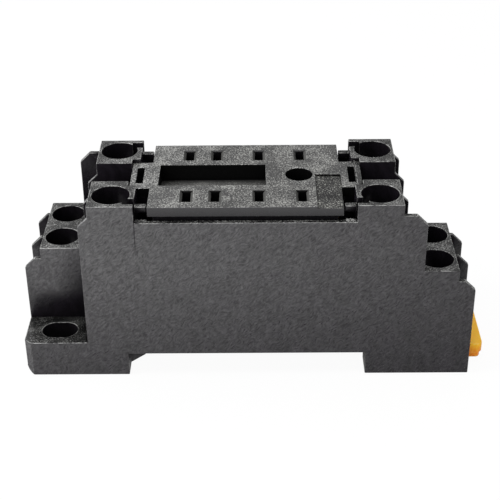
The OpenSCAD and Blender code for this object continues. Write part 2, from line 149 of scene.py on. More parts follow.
def open_merged(piece):
    """Opens a piece in edit mode, with its doubled corners merged and nothing selected."""
    take(piece)
    bpy.ops.object.mode_set(mode="EDIT")
    bpy.ops.mesh.select_mode(type="EDGE")
    bpy.ops.mesh.select_all(action="SELECT")
    bpy.ops.mesh.remove_doubles(threshold=SAME)
    bpy.ops.mesh.select_all(action="DESELECT")


def select_outer_edges(piece, sharp):
    """Selects the edges that stand out and turn by more than an angle, in edit mode."""
    mesh = bmesh.from_edit_mesh(piece.data)
    for edge in mesh.edges:
        turned = len(edge.link_faces) == 2 and edge.calc_face_angle() > math.radians(sharp)
        edge.select_set(turned and edge.is_convex and edge.calc_length() > CLOSE)
    bmesh.update_edit_mesh(piece.data)


def mark_rounds(piece):
    """Writes 1 on the selected faces and 0 on the others, in the attribute named edge."""
    mesh = bmesh.from_edit_mesh(piece.data)
    mark = mesh.faces.layers.float.new("edge")
    for face in mesh.faces:
        face[mark] = 1.0 if face.select else 0.0
    bmesh.update_edit_mesh(piece.data)


# %% [markdown]
# A copied solid carries fixed normals from its file, which would hide the new rounds, so they are cleared
# first. Smooth shading then bends the light over the small rounds only, and a Weighted Normal modifier keeps
# the large faces flat.

# %% Rounding a piece, and copying a solid
SMOOTH_BELOW, LARGE_FACES = 50, 100


def round_edges(piece, radius, sharp=28):
    """Rounds the outer edges of a piece and keeps its flat faces flat."""
    take(piece)
    bpy.ops.mesh.customdata_custom_splitnormals_clear()
    open_merged(piece)
    select_outer_edges(piece, sharp)
    corners = {"miter_outer": "SHARP", "miter_inner": "SHARP"}
    bpy.ops.mesh.bevel(offset=radius, segments=2, clamp_overlap=False, loop_slide=False, **corners)
    mark_rounds(piece)
    bpy.ops.object.mode_set(mode="OBJECT")
    bpy.ops.object.shade_smooth_by_angle(angle=math.radians(SMOOTH_BELOW))
    flat = piece.modifiers.new("flat faces stay flat", "WEIGHTED_NORMAL")
    flat.keep_sharp = True
    flat.weight = LARGE_FACES
    bpy.ops.object.modifier_apply(modifier=flat.name)


def rounded_copy(node, name, radius, before=None):
    """A copy of a solid with rounded outer edges, which stands for that solid."""
    piece = copy_of(nodes[node], name)
    if before:
        before(piece)
    round_edges(piece, radius)
    stand_for(piece, node)
    return piece


# %% [markdown]
# ## Mouths of the contact slots
# Each of the plate's eight slots opens with a slope that guides a blade into its narrower throat. The slots'
# top edges are found by their place and bevelled once. Then the corners of the mouth and of the throat are
# moved to their places, before all edges are rounded.

# %% Where the slots are
SLOTS = [Vector((x, y)) * MM for x in (-9.15, -4.7, 2.1, 8.8) for y in (-7.0, 7.0)]
SLOT_L, SLOT_W = 1.9 * MM, 3.6 * MM
MOUTH_L, MOUTH_W, THROAT_L = 2.15 * MM, 3.8 * MM, 1.25 * MM
LEAD, LEAD_D = 0.32 * MM, 0.55 * MM
BESIDE, BEVELLED, LEVEL_FACE = 0.15 * MM, 1.2 * LEAD, 0.5


def from_slot(point, margin):
    """How far a point lies from the middle of its nearest slot, or None where it is outside the slot."""
    off = point.xy - min(SLOTS, key=lambda middle: (point.xy - middle).length)
    inside = abs(off.x) < SLOT_L / 2 + margin and abs(off.y) < SLOT_W / 2 + margin
    return off if inside else None


print(len(SLOTS), "slots")


# %% Sloping the mouths
def select_mouths(mesh, top):
    """Selects the slots' edges at the top of the plate."""
    for edge in mesh.edges:
        middle = (edge.verts[0].co + edge.verts[1].co) / 2
        level = all(top - corner.co.z < CLOSE for corner in edge.verts)
        upright = min(face.normal.z for face in edge.link_faces) < LEVEL_FACE
        edge.select_set(from_slot(middle, BESIDE) is not None and level and upright)


def move_corners(mesh, top):
    """Moves the corners of each bevelled slot to the sizes of its mouth and its throat."""
    for corner in mesh.verts:
        off = from_slot(corner.co, BEVELLED)
        if off is None:
            continue
        upper = top - corner.co.z < CLOSE
        length, width = (MOUTH_L, MOUTH_W) if upper else (THROAT_L, SLOT_W)
        moved = Vector((math.copysign(length, off.x), math.copysign(width, off.y))) / 2
        corner.co.xy = corner.co.xy - off + moved
        if not upper and corner.co.z > top - BEVELLED:
            corner.co.z = top - LEAD_D


def slope_mouths(piece):
    """Slopes the mouths of the contact slots."""
    open_merged(piece)
    mesh = bmesh.from_edit_mesh(piece.data)
    top = max(corner.co.z for corner in mesh.verts)
    select_mouths(mesh, top)
    bmesh.update_edit_mesh(piece.data)
    print("mouth edges", sum(edge.select for edge in mesh.edges))
    bpy.ops.mesh.bevel(offset=LEAD, segments=1, clamp_overlap=False, loop_slide=False)
    move_corners(bmesh.from_edit_mesh(piece.data), top)
    bmesh.update_edit_mesh(piece.data)
    bpy.ops.object.mode_set(mode="OBJECT")


# %% The black and the grey moulding
HOUSING_ROUND, PLATE_ROUND = 0.12 * MM, 0.1 * MM
housing = rounded_copy("housing", "moulded_housing", HOUSING_ROUND)
plate = rounded_copy("contact_plate", "moulded_contact_plate", PLATE_ROUND, slope_mouths)
for piece in (housing, plate):
    print(piece.name, len(piece.data.polygons), "faces")

# %% [markdown]
# ## Helpers for new shapes
# New shapes start from a primitive. These helpers pick faces by a rule, add one closed piece to another or
# cut it out, and write a piece's place into its mesh, so that the object itself sits at the origin.

# %% Picking, cutting and placing
LOOKS_DOWN, LOOKS_UP = -0.9, 0.99


def pick_faces(piece, wanted):
    """Selects the faces of the piece in edit mode for which wanted(face) is true."""
    mesh = bmesh.from_edit_mesh(piece.data)
    for face in mesh.faces:
        face.select_set(False)
    for face in mesh.faces:
        if wanted(face):
            face.select_set(True)
    bmesh.update_edit_mesh(piece.data)


def combine(piece, other, operation):
    """Adds one closed piece to another, or cuts it out, and removes it."""
    take(piece)
    both = piece.modifiers.new("two closed pieces", "BOOLEAN")
    both.operation, both.object, both.solver = operation, other, "EXACT"
    bpy.ops.object.modifier_apply(modifier=both.name)
    bpy.data.objects.remove(other)


def set_places(piece):
    """Writes the object's place, turn and size into its mesh."""
    take(piece)
    bpy.ops.object.transform_apply(location=True, rotation=True, scale=True)


# %% [markdown]
# ## The clip's tongue
# The clip ends in a tongue that a finger or a screwdriver pulls. Its corners are round and it has a narrower
# lower lip. The solid's square tongue is cut off with a bisect that fills the cut. The new one starts as a
# block: its outer upright edges are rounded with a wide bevel, and its underside is inset and extruded down.
# A Boolean union joins the two, which leaves no hidden walls inside.

# %% Cutting the square tongue off
clip_low, clip_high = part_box("rail_clip")
housing_low, housing_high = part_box("housing")
WALL_X = -housing_low.x
TONGUE_CUT, OVERLAP = WALL_X + 0.06 * MM, 0.01 * MM

clip = copy_of(nodes["rail_clip"], "moulded_rail_clip")
open_merged(clip)
bpy.ops.mesh.select_all(action="SELECT")
bpy.ops.mesh.bisect(plane_co=(TONGUE_CUT, 0, 0), plane_no=(1, 0, 0), clear_outer=True, use_fill=True)
bpy.ops.object.mode_set(mode="OBJECT")
print("cut at", round(TONGUE_CUT / MM, 2), "mm")

# %% Modelling the round tongue
TIP_X, TIP_TOP, TIP_EDGE = clip_high.x - 0.02 * MM, clip_low.z + 2.5 * MM, clip_low.z + 0.75 * MM
LIP_IN, LIP_LOW = 0.3 * MM, clip_low.z - 0.3 * MM
TIP_ROUND, CLIP_ROUND = 1.0 * MM, 0.14 * MM

block_low = Vector((TONGUE_CUT - OVERLAP, clip_low.y, TIP_EDGE))
block_high = Vector((TIP_X, clip_high.y, TIP_TOP))
bpy.ops.mesh.primitive_cube_add(size=1, location=(block_low + block_high) / 2)
tongue = bpy.context.object
tongue.scale = block_high - block_low
set_places(tongue)
bpy.ops.object.mode_set(mode="EDIT")
bpy.ops.mesh.select_mode(type="EDGE")
mesh = bmesh.from_edit_mesh(tongue.data)
for edge in mesh.edges:
    ends = [corner.co for corner in edge.verts]
    upright = abs(ends[0].z - ends[1].z) > MM
    edge.select_set(upright and min(end.x for end in ends) > TIP_X - CLOSE)
bmesh.update_edit_mesh(tongue.data)
bpy.ops.mesh.bevel(offset=TIP_ROUND, segments=8, affect="EDGES", profile=0.5, clamp_overlap=False)
bpy.ops.mesh.select_mode(type="FACE")
pick_faces(tongue, lambda face: face.normal.z < LOOKS_DOWN)
bpy.ops.mesh.inset(thickness=LIP_IN)
bpy.ops.mesh.extrude_region_move(TRANSFORM_OT_translate={"value": (0, 0, LIP_LOW - TIP_EDGE)})
bpy.ops.mesh.select_all(action="SELECT")
bpy.ops.mesh.normals_make_consistent(inside=False)
bpy.ops.object.mode_set(mode="OBJECT")
print("tongue", len(tongue.data.polygons), "faces")

# %% Joining the tongue to the clip
combine(clip, tongue, "UNION")
round_edges(clip, CLIP_ROUND)
stand_for(clip, "rail_clip")
print("clip", len(clip.data.polygons), "faces")

# %% [markdown]
# ## Torn flash at the cut-out
# Two whitish slivers of torn plastic lie in the corners of the near wall's cut-out. A sliver starts as a
# grid whose points are pushed about at random from a fixed seed, and the Solidify modifier gives it a thin
# body. The second one is a copy that is mirrored and made a little shorter.

# %% Modelling a sliver
CORNER = Vector((-16.85 * MM, housing_low.y, housing_high.z - 2.9 * MM))
FROM_CORNER = Vector((0.9, 0.5, 0.1)) * MM
FLASH_L, FLASH_W, FLASH_T, TEAR = 1.7 * MM, 0.75 * MM, 0.07 * MM, 0.13 * MM

bpy.ops.mesh.primitive_grid_add(x_subdivisions=14, y_subdivisions=5, size=1, location=(0, 0, 0))
sliver = bpy.context.object
sliver.name = "flash_left"
sliver.scale = (FLASH_L, FLASH_W, 1)
sliver.location = CORNER + FROM_CORNER
set_places(sliver)
bpy.ops.object.mode_set(mode="EDIT")
bpy.ops.mesh.select_all(action="SELECT")
bpy.ops.transform.vertex_random(offset=TEAR, uniform=1.0, normal=0.0, seed=4)
bpy.ops.object.mode_set(mode="OBJECT")
body = sliver.modifiers.new("thin body", "SOLIDIFY")
body.thickness, body.offset = FLASH_T, 0.0
bpy.ops.object.modifier_apply(modifier=body.name)
mask = sliver.data.attributes.new("edge", "FLOAT", "FACE")
mask.data.foreach_set("value", [1.0] * len(sliver.data.polygons))
print(sliver.name, len(sliver.data.polygons), "faces")

# %% Its copy in the other corner
SHORTER, INWARDS = 0.9, 1.7 * MM

other = copy_of(sliver, "flash_right")
take(other)
bpy.ops.object.mode_set(mode="EDIT")
bpy.ops.mesh.select_all(action="SELECT")
bpy.ops.transform.resize(value=(-SHORTER, 1, 1), center_override=(0, 0, 0))
bpy.ops.transform.translate(value=(INWARDS, 0, 0))
bpy.ops.mesh.normals_make_consistent(inside=False)
bpy.ops.object.mode_set(mode="OBJECT")
for piece in (sliver, other):
    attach(piece, nodes["housing"]["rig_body"])
print(other.name, "placed")

# %% [markdown]
# ## Strips and contacts
# The strips are cut and folded from sheet brass, and the fork contacts from thinner bronze. A press leaves
# one side of each edge slightly rounded, so they take the same operator with a smaller radius.

# %% The stamped metal
TERMINALS = range(1, 9)
STRIP_ROUND, FORK_ROUND = 0.08 * MM, 0.05 * MM
strips, forks = [], []
for i in TERMINALS:
    strips.append(rounded_copy(f"terminal_strip_{i}", f"stamped_strip_{i}", STRIP_ROUND))
for i in TERMINALS:
    forks.append(rounded_copy(f"fork_contact_{i}", f"stamped_fork_{i}", FORK_ROUND))
print(len(strips), "strips,", len(forks), "forks")

# %% [markdown]
# ## Terminal screws
# Each screw is a small machine screw with a low round head, a slot across it and a shorter slot crosswise,
# so that either blade fits. The solid gives the place and the sizes. The head starts as a cylinder whose
# top is drawn in by steps, which makes the dome. The slots are cut by two blocks with a Boolean modifier,
# because a cut with flat walls is exactly what the real tool leaves.

# %% Sizes, read from the solids
screw_low, screw_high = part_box("terminal_screw_1")
washer_low, washer_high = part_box("clamp_washer_1")
HEAD_R = (screw_high.x - screw_low.x) / 2
HEAD_H = screw_high.z - washer_high.z
SHANK_R, SHANK_L = 1.45 * MM, washer_high.z - screw_low.z
DRIVE_W, DRIVE_D, CROSS_L, THROUGH = 0.8 * MM, 0.8 * MM, 2.6 * MM, 2.4 * HEAD_R
print("screw head", round(2 * HEAD_R / MM, 2), "by", round(HEAD_H / MM, 2), "mm")
print("shank", round(SHANK_L / MM, 2), "mm")

# %% The screw's head
RINGS, MIDDLE = (0.06, 0.14, 0.3), 0.1 * HEAD_R
DOMED_ABOVE, DOME_FROM, DOME_DROP, DOME_CURVE = 0.9 * HEAD_H, 0.28, 0.34, 2.2


def is_middle(face):
    """True for the face in the middle of the head's top."""
    return face.normal.z > LOOKS_UP and face.calc_center_median().xy.length < MIDDLE


bpy.ops.mesh.primitive_cylinder_add(vertices=48, radius=HEAD_R, depth=HEAD_H, location=(0, 0, HEAD_H / 2))
screw = bpy.context.object
set_places(screw)
bpy.ops.object.mode_set(mode="EDIT")
bpy.ops.mesh.select_mode(type="FACE")
for share in RINGS:
    pick_faces(screw, is_middle)
    bpy.ops.mesh.inset(thickness=HEAD_R * share)
bpy.ops.object.mode_set(mode="OBJECT")
for corner in screw.data.vertices:
    if corner.co.z > DOMED_ABOVE:
        out = max(0.0, corner.co.xy.length / HEAD_R - DOME_FROM)
        corner.co.z = HEAD_H * (1 - DOME_DROP * out**DOME_CURVE)
screw.data.update()
print("domed head", len(screw.data.polygons), "faces")

# %% Its two slots
for length, width in ((THROUGH, DRIVE_W), (DRIVE_W, CROSS_L)):
    bpy.ops.mesh.primitive_cube_add(size=1, location=(0, 0, HEAD_H))
    block = bpy.context.object
    block.scale = (length, width, 2 * DRIVE_D)
    set_places(block)
    combine(screw, block, "DIFFERENCE")
print("slotted head", len(screw.data.polygons), "faces")

# %% [markdown]
# The thread is one tooth of its outline, swept round and up by a Screw modifier, a turn for each pitch. The
# ends stay open after the sweep, so their rims are filled.

# %% One tooth of the thread
PITCH, TOOTH = 0.5 * MM, 0.22 * MM
TURNS, STEPS = int(SHANK_L / PITCH), 24
OUTLINE = ((TOOTH, 0), (0, PITCH * 0.45), (0, PITCH * 0.55), (TOOTH, PITCH))

bpy.ops.mesh.primitive_plane_add(size=1)
thread = bpy.context.object
bpy.ops.object.mode_set(mode="EDIT")
mesh = bmesh.from_edit_mesh(thread.data)
mesh.clear()
tooth = [mesh.verts.new((SHANK_R - depth, 0, height)) for depth, height in OUTLINE]
for low_end, high_end in zip(tooth, tooth[1:]):
    mesh.edges.new((low_end, high_end))
bmesh.update_edit_mesh(thread.data)
bpy.ops.object.mode_set(mode="OBJECT")
print("tooth", len(thread.data.edges), "edges")

# %% Sweeping it into a thread
sweep = thread.modifiers.new("sweep", "SCREW")
sweep.axis, sweep.screw_offset, sweep.iterations = "Z", PITCH, TURNS
sweep.steps = sweep.render_steps = STEPS
sweep.use_merge_vertices, sweep.merge_threshold = True, SAME / 2
take(thread)
bpy.ops.object.modifier_apply(modifier=sweep.name)
open_merged(thread)
bpy.ops.mesh.select_non_manifold(extend=False)
bpy.ops.mesh.fill()
bpy.ops.mesh.select_all(action="SELECT")
bpy.ops.mesh.normals_make_consistent(inside=False)
bpy.ops.transform.translate(value=(0, 0, -SHANK_L))
bpy.ops.object.mode_set(mode="OBJECT")
print("thread", TURNS, "turns,", len(thread.data.polygons), "faces")

# %% One screw for each terminal
SCREW_SMOOTH, NEXT_TURN = 35, 37

take(screw)
thread.select_set(True)
bpy.ops.object.join()
bpy.ops.object.shade_smooth_by_angle(angle=math.radians(SCREW_SMOOTH))
screws = []
for i in TERMINALS:
    low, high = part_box(f"terminal_screw_{i}")
    place = Matrix.Translation(((low.x + high.x) / 2, (low.y + high.y) / 2, high.z - HEAD_H))
    piece = copy_of(screw, f"slotted_screw_{i}")
    piece.data.transform(place @ Matrix.Rotation(math.radians((NEXT_TURN * i) % 180), 4, "Z"))
    stand_for(piece, f"terminal_screw_{i}")
    screws.append(piece)
bpy.data.objects.remove(screw)
print(len(screws), "screws")

# %% [markdown]
# ## Clamp washers
# The square washer under each head presses the wire on the strip. Its underside is ribbed across the wire,
# and its corners are rounded by tumbling. The ribs come from a block that is cut into slices by bisecting
# it, after which every second slice of the underside is inset and pushed up.

# %% The washer
WASHER = washer_high - washer_low
HOLE_R, WASHER_ROUND = 1.55 * MM, 0.1 * MM
RIBS, RIB_D, RIB_IN = 9, 0.18 * MM, 0.1 * MM


def slice_of(face):
    """Which slice of the washer a face is in, counted from 0."""
    return int((face.calc_center_median().x / WASHER.x + 0.5) * RIBS)


bpy.ops.mesh.primitive_cube_add(size=1, location=(0, 0, WASHER.z / 2))
washer = bpy.context.object
washer.scale = WASHER
set_places(washer)
bpy.ops.object.mode_set(mode="EDIT")
for k in range(1, RIBS):
    bpy.ops.mesh.select_all(action="SELECT")
    bpy.ops.mesh.bisect(plane_co=(WASHER.x * (k / RIBS - 0.5), 0, 0), plane_no=(1, 0, 0))
bpy.ops.mesh.select_mode(type="FACE")
pick_faces(washer, lambda face: face.normal.z < LOOKS_DOWN and slice_of(face) % 2 == 1)
bpy.ops.mesh.inset(thickness=RIB_IN)
bpy.ops.transform.translate(value=(0, 0, RIB_D))
bpy.ops.object.mode_set(mode="OBJECT")
bpy.ops.mesh.primitive_cylinder_add(vertices=40, radius=HOLE_R, depth=4 * WASHER.z, location=(0, 0, WASHER.z / 2))
combine(washer, bpy.context.object, "DIFFERENCE")
round_edges(washer, WASHER_ROUND, sharp=50)
print("washer", len(washer.data.polygons), "faces")

# %% One washer for each terminal
washers = []
for i in TERMINALS:
    low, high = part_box(f"clamp_washer_{i}")
    piece = copy_of(washer, f"ribbed_washer_{i}")
    piece.data.transform(Matrix.Translation(((low.x + high.x) / 2, (low.y + high.y) / 2, low.z)))
    stand_for(piece, f"clamp_washer_{i}")
    washers.append(piece)
bpy.data.objects.remove(washer)
print(len(washers), "washers")

# %% [markdown]
# ## Node helpers
# A material is a tree of nodes. Small helpers keep its code short: one adds a node and fills its inputs with
# values or links, and the others are the sums and mixtures that every material needs. Shares run from 0 to
# 1, so multiplying two of them keeps what both have in common.


# %% Adding nodes in one line
def fill(tree, node, inputs):
    """Gives a node's inputs their values or links."""
    for key, value in inputs.items():
        if isinstance(value, bpy.types.NodeSocket):
            tree.links.new(value, node.inputs[key])
        else:
            node.inputs[key].default_value = value


def add(tree, kind, inputs=None, **settings):
    """One node, with its settings, and the values or links of its inputs."""
    made = tree.nodes.new("ShaderNode" + kind)
    for key, value in settings.items():
        setattr(made, key, value)
    fill(tree, made, inputs or {})
    return made


def noise(tree, place, scale, detail, roughness=0.5):
    """The outputs of a noise texture, the first of which is its value."""
    inputs = {"Vector": place, "Scale": scale, "Detail": detail, "Roughness": roughness}
    return add(tree, "TexNoise", inputs).outputs


def parts_of(tree, vector):
    """The X, Y and Z of a vector."""
    return add(tree, "SeparateXYZ", {0: vector}).outputs


# %% Sums
def total(tree, operation, a, b=0.0):
    """A Math node's result."""
    return add(tree, "Math", {0: a, 1: b}, operation=operation).outputs[0]


def product(tree, first, *others):
    """Values multiplied together."""
    for each in others:
        first = total(tree, "MULTIPLY", first, each)
    return first


def rest_of(tree, share):
    """What a share leaves of 1."""
    return total(tree, "SUBTRACT", 1.0, share)


def less_where(tree, value, mask, loss):
    """A value that loses a share of itself where a mask is 1."""
    return product(tree, value, rest_of(tree, product(tree, mask, loss)))


def far_from(tree, value, middle=0.0):
    """How far a value is from a middle, on either side."""
    return total(tree, "ABSOLUTE", total(tree, "SUBTRACT", value, middle))


# %% Slopes and mixtures
def between(tree, value, low, high):
    """0 below low, 1 above high and a smooth step between them."""
    return add(tree, "MapRange", {0: value, 1: low, 2: high}, interpolation_type="SMOOTHSTEP").outputs[0]


def ramp(tree, value, low, high, at_low, at_high):
    """A straight slope from at_low to at_high, while a value goes from low to high."""
    return add(tree, "MapRange", {0: value, 1: low, 2: high, 3: at_low, 4: at_high}).outputs[0]


def swap(tree, share, a, b):
    """One value turned into another by a share."""
    return add(tree, "Mix", {0: share, 2: a, 3: b}).outputs[0]


def mix(tree, share, a, b):
    """One colour turned into another by a share."""
    return add(tree, "Mix", {0: share, 6: a, 7: b}, data_type="RGBA").outputs[2]


def grey(level, tint=(1, 1, 1)):
    """A grey of a level, a little tinted."""
    return (level * tint[0], level * tint[1], level * tint[2], 1)


# %% Starting a group of nodes
def new_group(name, inputs, outputs):
    """A group with named sockets, and its own input and output nodes."""
    tree = bpy.data.node_groups.new(name, "ShaderNodeTree")
    for label, kind, value in inputs:
        made = tree.interface.new_socket(label, in_out="INPUT", socket_type="NodeSocket" + kind)
        made.default_value = value
    for label, kind in outputs:
        tree.interface.new_socket(label, in_out="OUTPUT", socket_type="NodeSocket" + kind)
    return tree, tree.nodes.new("NodeGroupInput").outputs, tree.nodes.new("NodeGroupOutput")


def use(tree, group, **inputs):
    """The outputs of a group placed in a material."""
    made = add(tree, "Group")
    made.node_tree = group
    fill(tree, made, inputs)
    return made.outputs


# %% [markdown]
# ## Spark grain and painted glints
# The mould of a black or grey moulding is eroded by sparks, which leaves tiny craters of about a fifth of a
# millimetre. Under a lamp they glitter, and that glitter is painted into the colour as pale specks. Cells of
# a Voronoi texture make the craters and noise breaks them up. The group gives the painted glints as a mask
# and the craters as a height. Larger cells give a web of fine veins, where the steel was cut twice.

# %% The grain group: painted glints and craters
PLACE = ("Place", "Vector", (0, 0, 0))
FEWEST, SPREAD, SPECK_EDGE = 0.72, 0.3, 0.12
DRIFT, DRIFT_SCALE = 0.25, 0.35
CRATER_SHARE = 0.6

grain, put, out = new_group(
    "spark_grain_and_painted_glints",
    [PLACE, ("Size", "Float", 0.2), ("Share", "Float", 0.5)],
    [("PaintedGlints", "Float"), ("Height", "Float"), ("Veins", "Float")],
)
often = total(grain, "DIVIDE", 1.0, put["Size"])
cells = add(grain, "TexVoronoi", {"Vector": put["Place"], "Scale": often, "Randomness": 1.0}, feature="F1")
rough = noise(grain, put["Place"], often, 3.0, 0.7)
wide = noise(grain, put["Place"], DRIFT_SCALE, 2.0)[0]
drift = product(grain, total(grain, "SUBTRACT", wide, 0.5), DRIFT)
start = total(grain, "SUBTRACT", FEWEST, product(grain, put["Share"], SPREAD))
start = total(grain, "SUBTRACT", start, drift)
# Painted glints: this mask of pale specks stands in for glitter under the lamps.
grain_and_glints = between(grain, rough[0], start, total(grain, "ADD", start, SPECK_EDGE))
height = total(grain, "ADD", product(grain, cells.outputs["Distance"], CRATER_SHARE), rough[0])
fill(grain, out, {"PaintedGlints": grain_and_glints, "Height": height})
print("group", grain.name)

# %% The grain group: veins
CROOKED, VEIN_SCALE, VEIN_HALF = 0.9, 0.75, (0.02, 0.09)

bent = add(grain, "VectorMath", {0: rough["Color"], "Scale": CROOKED}, operation="SCALE").outputs[0]
bent = add(grain, "VectorMath", {0: put["Place"], 1: bent}, operation="ADD").outputs[0]
web = {"Vector": bent, "Scale": VEIN_SCALE, "Randomness": 1.0}
web = add(grain, "TexVoronoi", web, feature="DISTANCE_TO_EDGE").outputs["Distance"]
veins = product(grain, rest_of(grain, between(grain, web, *VEIN_HALF)), between(grain, wide, 0.4, 0.6))
fill(grain, out, {"Veins": veins})
print(grain.name, len(grain.nodes), "nodes")

# %% [markdown]
# ## Flow marks
# Melted plastic freezes against the mould as it runs, and leaves faint swirls on the walls. Noise that is
# stretched upwards and bent by more noise gives such marks.

# %% The flow group
BEND_SCALE, BEND, STRETCH, MARK_SCALE = 0.13, 9.0, (1.0, 1.0, 0.28), 0.9

flow, put, out = new_group("flow_marks", [PLACE], [("Marks", "Float")])
bend = noise(flow, put["Place"], BEND_SCALE, 2.0)["Color"]
shift = add(flow, "VectorMath", {0: bend, "Scale": BEND}, operation="SCALE").outputs[0]
bent = add(flow, "VectorMath", {0: put["Place"], 1: shift}, operation="ADD").outputs[0]
long = add(flow, "Mapping", {"Vector": bent, "Scale": STRETCH}).outputs[0]
fill(flow, out, {"Marks": noise(flow, long, MARK_SCALE, 4.0, 0.65)[0]})
print("group", flow.name)

# %% [markdown]
# ## Worn edges and painted edge highlights
# Edges rub and turn pale, but never evenly, and their small rounds catch the light: the colour paints both
# wear and highlight as one pale line. The mark that the rounding left in the mesh is multiplied by noise, so
# the line comes and goes.

# %% The wear and painted highlight group
LEAST_WORN, WEAR_SPREAD, WEAR_EDGE = 0.75, 0.5, 0.2

wear_and_highlight, put, out = new_group(
    "worn_and_highlit_edges",
    [PLACE, ("Edge", "Float", 0.0), ("Size", "Float", 1.0), ("Share", "Float", 0.5)],
    [("Mask", "Float")],
)
patches = noise(wear_and_highlight, put["Place"], total(wear_and_highlight, "DIVIDE", 1.0, put["Size"]), 4.0, 0.7)[0]
start = total(wear_and_highlight, "SUBTRACT", LEAST_WORN, product(wear_and_highlight, put["Share"], WEAR_SPREAD))
worn = between(wear_and_highlight, patches, start, total(wear_and_highlight, "ADD", start, WEAR_EDGE))
fill(wear_and_highlight, out, {"Mask": product(wear_and_highlight, worn, put["Edge"])})
print("group", wear_and_highlight.name)

# %% [markdown]
# ## Painted shade in hollows
# Deep chambers of a black moulding look darker than the lamps alone make them, because little light finds
# its way out again, and that shade is painted into the colour. Ambient Occlusion says how open a spot is, on
# the piece itself, and a power of it darkens the colour.

# %% The painted hollow shade group
hollow_shade, put, out = new_group(
    "painted_hollow_shade",
    [("Open", "Float", 1.0), ("Depth", "Float", 1.0), ("Colour", "Color", (0, 0, 0, 1))],
    [("Colour", "Color")],
)
shade = total(hollow_shade, "POWER", put["Open"], put["Depth"])
dark = add(hollow_shade, "VectorMath", {0: put["Colour"], "Scale": shade}, operation="SCALE").outputs[0]
fill(hollow_shade, out, {"Colour": dark})
print("group", hollow_shade.name)


# %% What the materials share
def new_material(name):
    """A material, its tree, its shader, and a place in millimetres that belongs to the piece."""
    made = bpy.data.materials.new(name)
    made.use_nodes = True
    tree = made.node_tree
    place = {0: add(tree, "TexCoord").outputs["Object"], "Scale": 1 / MM}
    return made, tree, tree.nodes["Principled BSDF"], add(tree, "VectorMath", place, operation="SCALE").outputs[0]


def facing_of(tree):
    """The X, Y and Z of the way that a face looks, in the piece's own frame."""
    return parts_of(tree, add(tree, "TexCoord").outputs["Normal"])


def openness(tree, reach):
    """How open a spot is, out to a distance, on the piece itself."""
    return add(tree, "AmbientOcclusion", {"Distance": reach}, samples=8, only_local=True).outputs["AO"]


def edge_wear_and_highlight(tree, place, size, share):
    """Where the marked edges of a piece are worn and carry a painted highlight."""
    edge = add(tree, "Attribute", attribute_name="edge").outputs["Fac"]
    return use(tree, wear_and_highlight, Place=place, Edge=edge, Size=size, Share=share)["Mask"]


def relief_from(tree, height, strength, depth):
    """Normals that a height bends."""
    return add(tree, "Bump", {"Strength": strength, "Distance": depth, "Height": height}).outputs[0]


def finish_with(piece, material):
    """The piece gets this material and no other."""
    piece.data.materials.clear()
    piece.data.materials.append(material)


# %% [markdown]
# ## The black moulding
# The walls are smooth with flow marks, the tops carry the grain with painted glints, and the chambers are
# darkened by painted shade. Which is which is told by the way that a face looks: a face counts as a top when
# its normal points up far enough. The plastic itself is nearly black, so most of what is seen is shine.

# %% The housing's colour
TOP_FACE, MARK_RANGE = (0.55, 0.8), (0.3, 0.7)
WALL_TINT, GLINT_TINT, VEIN_TINT = (1.0, 0.8, 1.15), (1, 1, 0.97), (1, 1, 0.96)

black, tree, shader, place = new_material("black_plastic")
facing, spot = facing_of(tree), parts_of(tree, place)
is_top = between(tree, facing["Z"], *TOP_FACE)
marks = use(tree, flow, Place=place)["Marks"]
grain_and_glints = use(tree, grain, Place=place, Size=0.2, Share=0.62)
open_here = openness(tree, 6 * MM)
wall = mix(tree, between(tree, marks, *MARK_RANGE), grey(0.005, WALL_TINT), grey(0.011, WALL_TINT))
# Painted glints: the tops' pale specks stand in for glitter under the lamps.
top = mix(tree, grain_and_glints["PaintedGlints"], grey(0.005), grey(0.24, GLINT_TINT))
top = mix(tree, product(tree, grain_and_glints["Veins"], 0.25), top, grey(0.2, VEIN_TINT))
colour = mix(tree, is_top, wall, top)
# Painted shade: the colour darkens where the piece is closed in.
colour = use(tree, hollow_shade, Open=open_here, Depth=1.2, Colour=colour)["Colour"]
print("tops from", TOP_FACE[0], "to", TOP_FACE[1])

# %% [markdown]
# The pale edges are partly wear and partly painted highlight, and the edges that look up are painted paler
# than the upright ones. The long edge of the cut-out lies in the shade under the plate's rim, so its pale line
# is cut back there as painted shade.

# %% The housing's worn and highlit edges, its painted shade under the rim, and its relief
ANY_WAY, UP_FACE, WORN_AND_HIGHLIT_SHARE = 0.12, (0.2, 0.6), 0.66
RIM_END, RIM_SIDE, RIM_BELOW, RIM_REACH, RIM_SHADE_LOSS = (13.0, 15.0), (11.0, 11.2), 4.5, (2.5, 3.0), 0.65
SPARK_ROUGH = (0.3, 1.0, 0.45, 0.7)

# Painted highlight and wear on the edges, paler where they look up, with painted shade under the plate's rim.
upward = total(tree, "ADD", ANY_WAY, between(tree, facing["Z"], *UP_FACE))
along = rest_of(tree, between(tree, far_from(tree, spot["X"]), *RIM_END))
at_side = between(tree, far_from(tree, spot["Y"]), *RIM_SIDE)
level = rest_of(tree, between(tree, far_from(tree, spot["Z"], housing_high.z / MM - RIM_BELOW), *RIM_REACH))
rubbed_and_highlit = edge_wear_and_highlight(tree, place, 1.1, 0.68)
rubbed_and_highlit = less_where(tree, rubbed_and_highlit, product(tree, along, at_side, level), RIM_SHADE_LOSS)
colour = mix(tree, product(tree, rubbed_and_highlit, upward, WORN_AND_HIGHLIT_SHARE), colour, grey(0.34, GLINT_TINT))
relief = product(tree, grain_and_glints["Height"], total(tree, "ADD", 0.3, is_top))
relief = total(tree, "ADD", relief, product(tree, marks, 0.25))
finish = {
    "Base Color": colour,
    "Roughness": ramp(tree, grain_and_glints["Height"], *SPARK_ROUGH),
    "Specular IOR Level": 0.04,
    "Normal": relief_from(tree, relief, 0.5, 0.04 * MM),
}
fill(tree, shader, finish)
print(black.name, len(tree.nodes), "nodes so far")

